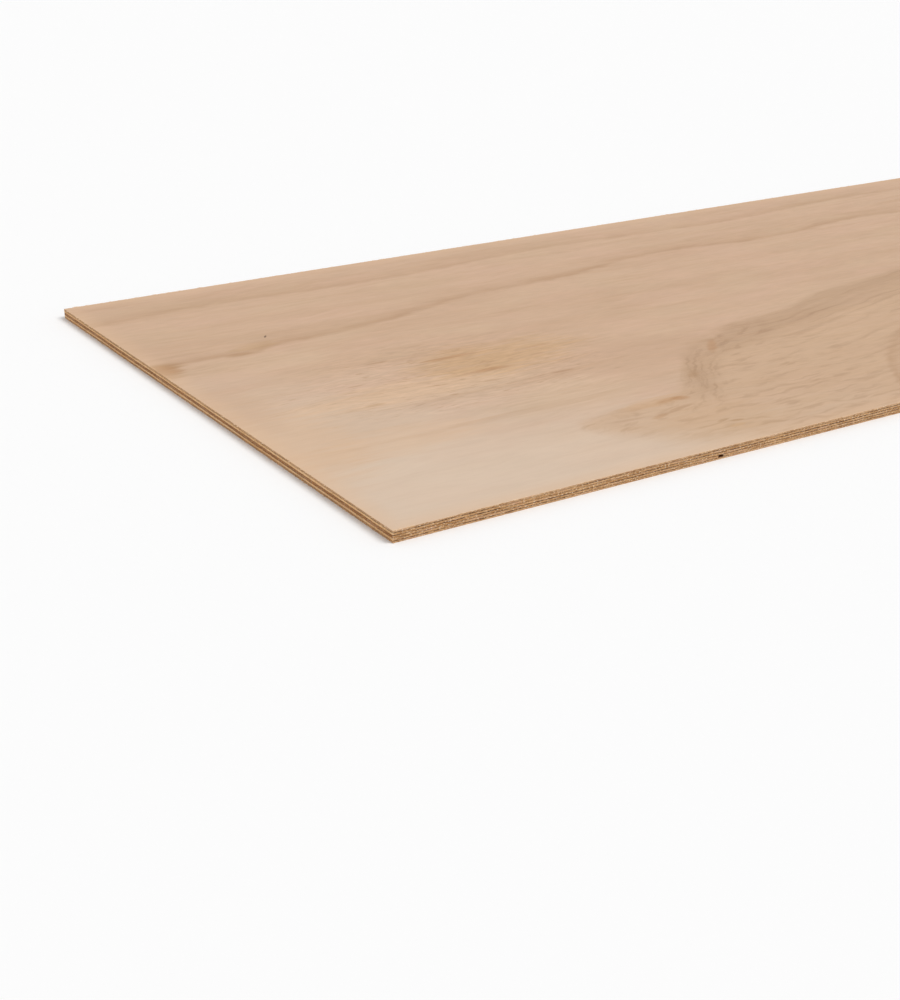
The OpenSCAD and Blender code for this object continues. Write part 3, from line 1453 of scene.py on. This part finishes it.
FACE_FINISH = FaceFinish(
    pale=srgb(214, 191, 169),
    tan=srgb(203, 170, 142),
    pink=srgb(208, 172, 147),
    olive=srgb(203, 178, 146),
    streak=STREAK_BROWN,
    lines=(
        RingLine(
            points=(
                (0, 390), (30, 393), (60, 392), (80, 389), (95, 390), (108, 396), (122, 400), (163, 402),
                (240, 412), (340, 440), (460, 448), (600, 474), (760, 462), (920, 478), (1080, 452),
                (1220, 470),
            ),
            strength=0.6,
            seed=1.0,
        ),
        RingLine(
            points=((0, 536), (120, 546), (300, 538), (520, 556), (760, 546), (960, 562), (1220, 548)),
            strength=0.42,
            fade=54.0,
            seed=14.0,
        ),
        RingLine(
            points=(
                (0, -190), (430, -150), (470, -40), (520, 60), (600, 132), (720, 188), (860, 214),
                (1000, 198), (1120, 160), (1220, 120),
            ),
            strength=0.5,
            way=Fade.DOWN,
            seed=81.0,
        ),
        RingLine(
            points=(
                (0, -190), (600, -160), (650, -30), (700, 52), (780, 102), (880, 124), (980, 110), (1080, 70),
                (1150, 20), (1220, -60),
            ),
            strength=0.55,
            fade=36.0,
            way=Fade.DOWN,
            seed=87.0,
        ),
        RingLine(
            points=(
                (0, -190), (740, -150), (790, -20), (850, 36), (920, 48), (990, 20), (1040, -30),
                (1220, -180),
            ),
            strength=0.45,
            fade=30.0,
            way=Fade.DOWN,
            seed=93.0,
        ),
    ),
    flames=(
        Flame(
            upper=(
                (0, 20), (200, 30), (216, 90), (232, 102), (329, 117), (361, 140), (385, 172), (405, 197),
                (428, 214), (480, 230), (560, 246), (700, 282), (860, 304), (1020, 284), (1220, 240),
            ),
            lower=(
                (0, 170), (200, 150), (216, 90), (230, 64), (287, 22), (307, 13), (340, -12), (460, -60),
                (1220, -80),
            ),
            colour=FLAME_TAN,
            line_colour=FLAME_LINE,
            strength=0.85,
            band_start=325.0,
            seed=2.0,
        ),
    ),
    marks=(
        FaceMark((12, 185), (70, 130), WARM, 0.6, 1.2),
        FaceMark((85, 140), (110, 34), WARM, 0.5, 1.6),
        FaceMark((160, 234), (130, 34), WARM, 0.75, 1.6),
        FaceMark((378, 214), (90, 56), SHADE, 0.6, 1.4),
        FaceMark((356, 264), (30, 18), SHADE, 0.5, 1.2),
        FaceMark((16, 275), (34, 90), SHADE, 0.3, 1.2),
        FaceMark((105, 360), (64, 32), PALE_OLIVE, 0.45, 1.2),
        FaceMark((266, 270), (100, 50), HONEY, 0.6, 2.2),
        FaceMark((226, 268), (60, 48), OLIVE_HONEY, 0.1, 2.4),
        FaceMark((269, 158), (70, 46), PALE_OLIVE, 0.5, 1.4),
        FaceMark((312, 48), (76, 48), HONEY, 0.22, 1.6),
        FaceMark((230, 290), (42, 4.4), RUST, 0.5, 1.6),
        FaceMark((236, 244), (34, 4.8), RUST, 0.55, 1.8),
        FaceMark((310, 277), (22, 3.4), RUST, 0.3, 2.0),
        FaceMark((298, 258), (10, 2.2), RUST, 0.25, 1.4),
        FaceMark((168, 310), (14, 2.4), MARK_BROWN, 0.3, 1.6),
        FaceMark((122, 266), (12, 2.2), MARK_BROWN, 0.4, 1.6),
        FaceMark((113, 218), (12, 3.2), OLIVE_BROWN, 0.3, 1.6),
        FaceMark((-4, 394), (40, 15), OLIVE_BROWN, 0.7, 1.0),
        FaceMark((-4, 380), (30, 25), OLIVE_BROWN, 0.55, 0.9),
        FaceMark((0, 386), (24, 20), RUST, 0.6, 0.9),
        FaceMark((100, 408), (30, 15), OLIVE_HONEY, 0.3, 2.6),
        FaceMark((78, 394), (16, 6), OLIVE_BROWN, 0.3, 1.2),
        FaceMark((30, 417), (45, 5), MARK_BROWN, 0.12, 2.0),
        FaceMark((287, 208), (15, 2.6), MARK_BROWN, 0.4),
        FaceMark((224, 220), (11, 2.2), MARK_BROWN, 0.4),
        FaceMark((190, 142), (150, 7), MARK_BROWN, 0.14, 2.2),
        FaceMark((170, 203), (75, 4), MARK_BROWN, 0.14, 2.2),
        FaceMark((304, 106), (46, 10), AMBER, 0.3, 2.4),
        FaceMark((318, 104), (18, 5.0), RUST, 0.3, 1.4, 8.0),
        FaceMark((328, 102), (11, 6.4), RUST, 0.52, 1.3, -14.0),
        FaceMark((266, 82), (30, 3.2), MARK_BROWN, 0.22, 2.2, -9.0),
        FaceMark((287, 78), (11, 4.4), RUST, 0.34, 1.5, 16.0),
        FaceMark((309, 83), (26, 3.6), MARK_BROWN, 0.38, 1.8, 14.0),
        FaceMark((376, 143), (14, 6.0), OLIVE_BROWN, 0.26, 1.4, 44.0),
        FaceMark((322, 45), (8, 2.6), OLIVE_BROWN, 0.32, 1.8, 10.0),
        FaceMark((331, 39), (7, 2.4), OLIVE_BROWN, 0.36, 1.8, -8.0),
        FaceMark((325, 31), (10, 4.4), HONEY, 0.4, 2.0),
        FaceMark((440, 194), (24, 6.0), RUST, 0.42, 1.6, 50.0),
        FaceMark((121, 429), (4.5, 1.3), KNOT_DARK, 0.8, 0.2, 57.6),
    ),
)

BACK_FINISH = FaceFinish(
    pale=srgb(214, 188, 160),
    tan=srgb(202, 168, 136),
    pink=srgb(210, 172, 144),
    olive=srgb(200, 174, 138),
    streak=srgb(166, 126, 88),
    lines=(
        RingLine(
            points=((0, 92), (160, 104), (380, 88), (620, 112), (860, 96), (1060, 116), (1220, 104)),
            strength=0.58,
            fade=40.0,
            seed=51.0,
        ),
        RingLine(
            points=((0, 188), (200, 170), (420, 196), (640, 178), (900, 204), (1220, 186)),
            strength=0.46,
            fade=46.0,
            seed=57.0,
        ),
    ),
    flames=(
        Flame(
            upper=((0, 560), (260, 548), (480, 520), (640, 478), (760, 440), (790, 400), (1220, 280)),
            lower=((0, 268), (240, 286), (460, 320), (640, 362), (760, 384), (790, 408), (1220, 470)),
            colour=srgb(194, 158, 122),
            line_colour=srgb(158, 120, 86),
            strength=0.8,
            band_start=120.0,
            band_end=640.0,
            seed=61.0,
        ),
    ),
    marks=(
        FaceMark((880, 500), (90, 30), HONEY, 0.5, 2.4),
        FaceMark((1010, 330), (60, 5), MARK_BROWN, 0.35, 2.0),
        FaceMark((930, 250), (90, 5), MARK_BROWN, 0.25, 2.0),
    ),
    looks=OpenFace.DOWN,
    lean=-0.2,
    turn_start=-220.0,
    turn_end=420.0,
    busy_place=(850.0, 380.0),
    busy_size=(320.0, 160.0),
    seed=71.0,
)

FACE_WOOD = PlyWood(
    name="face_veneer_pine",
    grain=Grain.ALONG,
    side_colour=srgb(186, 144, 102),
    side_streak=srgb(154, 107, 62),
    end_colour=srgb(208, 160, 112),
    end_pore=srgb(148, 100, 56),
    face=FACE_FINISH,
)
BACK_WOOD = PlyWood(
    name="back_veneer_pine",
    grain=Grain.ALONG,
    side_colour=srgb(196, 152, 104),
    side_streak=srgb(162, 114, 64),
    end_colour=srgb(204, 150, 98),
    end_pore=srgb(146, 96, 50),
    face=BACK_FINISH,
)
CORE_WOOD = PlyWood(
    name="core_veneer_pine",
    grain=Grain.ALONG,
    side_colour=srgb(200, 157, 109),
    side_streak=srgb(168, 119, 67),
    end_colour=srgb(178, 120, 64),
    end_pore=srgb(122, 72, 30),
)
CROSSBAND_WOOD = PlyWood(
    name="crossband_pine",
    grain=Grain.ACROSS,
    side_colour=srgb(250, 204, 150),
    side_streak=srgb(230, 176, 116),
    end_colour=srgb(202, 158, 110),
    end_pore=srgb(150, 101, 52),
    pores=0.75,
)


@dataclass
class PlywoodSheet:
    """The whole sheet: its plies, from the back to the face."""

    plies: tuple[Ply, ...]
    groups: WoodGroups
    corner: Vector
    size: Vector
    fibres: TornFibres
    flat_map: SurfaceMap
    chance: random.Random

    def build(self) -> Iterator[bpy.types.Object]:
        """Builds and dresses the plies, one at a time.

        Yields:
            Each finished piece.
        """
        dressed: dict[str, bpy.types.Material] = {}
        for ply in self.plies:
            piece = ply.build()
            wood = ply.wood
            if wood.name not in dressed:
                dressed[wood.name] = wood.material(self.groups, self.corner, self.size)
            piece.data.materials.clear()
            piece.data.materials.append(dressed[wood.name])
            if ply.open_face is not OpenFace.NONE:
                count = self.fibres.add_to(piece, ply, self.chance)
                LOG.info("%s: %d torn fibres", piece.name, count)
            self.flat_map.lay(piece, ply)
            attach(piece, BODY)
            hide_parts(ply.node)
            yield piece


@dataclass
class Studio:
    """The pale floor, the soft light and the camera."""

    near_corner: Vector
    focal_pixels: float = 1624.48
    image_height: float = 1000.0
    film: float = 36.0
    clip: Point = (0.01, 100.0)
    pitch: float = math.radians(22.918)
    heading: float = math.radians(57.592)
    stand: tuple[float, float, float] = (-0.48666, -0.83638, 0.43076)
    floor_size: float = 40.0
    floor_drop: float = 0.1 * MM
    floor_white: float = 0.97
    floor_roughness: float = 0.9
    floor_gloss: float = 0.1
    backdrop: float = 1.0
    sky: float = 0.58
    sun: float = 1.7
    sun_width: float = math.radians(32)
    sun_way: tuple[float, float, float] = (-0.45, 0.5, -0.85)

    def build(self) -> None:
        """Sets up the camera, the lamps, the world and the floor."""
        self._camera()
        self._world()
        self._lamps()
        self._floor()

    def _camera(self) -> None:
        """Stands the camera where the near corner and the edges fall as they should."""
        data = bpy.data.cameras.new("camera")
        data.sensor_fit = "VERTICAL"
        data.sensor_height = self.film
        data.lens = self.focal_pixels / self.image_height * self.film
        data.clip_start, data.clip_end = self.clip
        camera = bpy.data.objects.new("camera", data)
        camera.location = self.near_corner + Vector(self.stand)
        camera.rotation_euler = Euler((math.pi / 2 - self.pitch, 0.0, self.heading - math.pi / 2))
        bpy.context.scene.collection.objects.link(camera)
        bpy.context.scene.camera = camera

    def _world(self) -> None:
        """Lights the scene evenly, and shows white behind the floor."""
        world = bpy.data.worlds.new("studio")
        world.use_nodes = True
        world.node_tree.nodes.clear()
        sketch = NodeSketch(world.node_tree)
        path = sketch.node("ShaderNodeLightPath")
        seen = sketch.math("MAXIMUM", path.outputs["Is Camera Ray"], path.outputs["Is Glossy Ray"])
        mix = sketch.node("ShaderNodeMixShader")
        sketch.feed(mix.inputs[0], seen)
        for socket, strength in zip(mix.inputs[1:], (self.sky, self.backdrop)):
            white = sketch.node("ShaderNodeBackground")
            white.inputs["Color"].default_value = (1.0, 1.0, 1.0, 1.0)
            white.inputs["Strength"].default_value = strength
            sketch.feed(socket, white.outputs[0])
        output = sketch.node("ShaderNodeOutputWorld")
        sketch.feed(output.inputs["Surface"], mix.outputs[0])
        bpy.context.scene.world = world

    def _lamps(self) -> None:
        """Hangs one broad soft light high above the right-hand front, the same all over the floor."""
        data = bpy.data.lights.new("key", "SUN")
        data.energy = self.sun
        data.angle = self.sun_width
        lamp = bpy.data.objects.new("key", data)
        lamp.rotation_euler = Vector(self.sun_way).to_track_quat("-Z", "Y").to_euler()
        bpy.context.scene.collection.objects.link(lamp)

    def _floor(self) -> None:
        """Lays a broad white floor under the sheet."""
        deselect_all()
        bpy.ops.mesh.primitive_plane_add(size=self.floor_size, location=(0.0, 0.0, -self.floor_drop))
        floor = bpy.context.active_object
        floor.name = "floor"
        made = bpy.data.materials.new("floor_white")
        made.use_nodes = True
        shader = made.node_tree.nodes["Principled BSDF"]
        shader.inputs["Base Color"].default_value = (*[self.floor_white] * 3, 1.0)
        shader.inputs["Roughness"].default_value = self.floor_roughness
        shader.inputs["Specular IOR Level"].default_value = self.floor_gloss
        floor.data.materials.append(made)
        floor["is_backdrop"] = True


def sheet_plies() -> tuple[Ply, ...]:
    """Lists the plies of the sheet, from the back up to the face."""
    return (
        Ply("back_veneer", "back_veneer", BACK_WOOD, OpenFace.DOWN),
        Ply("lower_crossband_end_strip", "crossband", CROSSBAND_WOOD),
        Ply("lower_crossband_main_strip", "crossband", CROSSBAND_WOOD),
        Ply("core_veneer", "core_veneer", CORE_WOOD),
        Ply("upper_crossband", "crossband", CROSSBAND_WOOD),
        Ply("face_veneer", "face_veneer", FACE_WOOD, OpenFace.UP),
    )


def glue_levels() -> list[float]:
    """Gives the heights where one ply meets the next, in millimetres."""
    tops = {round(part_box(name)[1].z / MM, 3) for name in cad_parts}
    return sorted(tops)[:-1]


def main() -> None:
    """Builds the studio and the sheet."""
    logging.basicConfig(level=logging.INFO, format="%(name)s: %(message)s")
    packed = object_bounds()
    low, high = (Vector(corner) for corner in packed)
    scene = bpy.context.scene
    scene.view_settings.view_transform = "Standard"
    Studio(Vector((low.x, low.y, high.z))).build()
    corner = Vector((low.x, low.y, 0.0))
    groups = WoodGroups(glue_levels())
    sheet = PlywoodSheet(
        sheet_plies(), groups, corner, high - low, TornFibres(), SurfaceMap(), random.Random(SEED)
    )
    for piece in sheet.build():
        LOG.info("%s: %d faces", piece.name, len(piece.data.polygons))


if __name__ == "__main__":
    main()
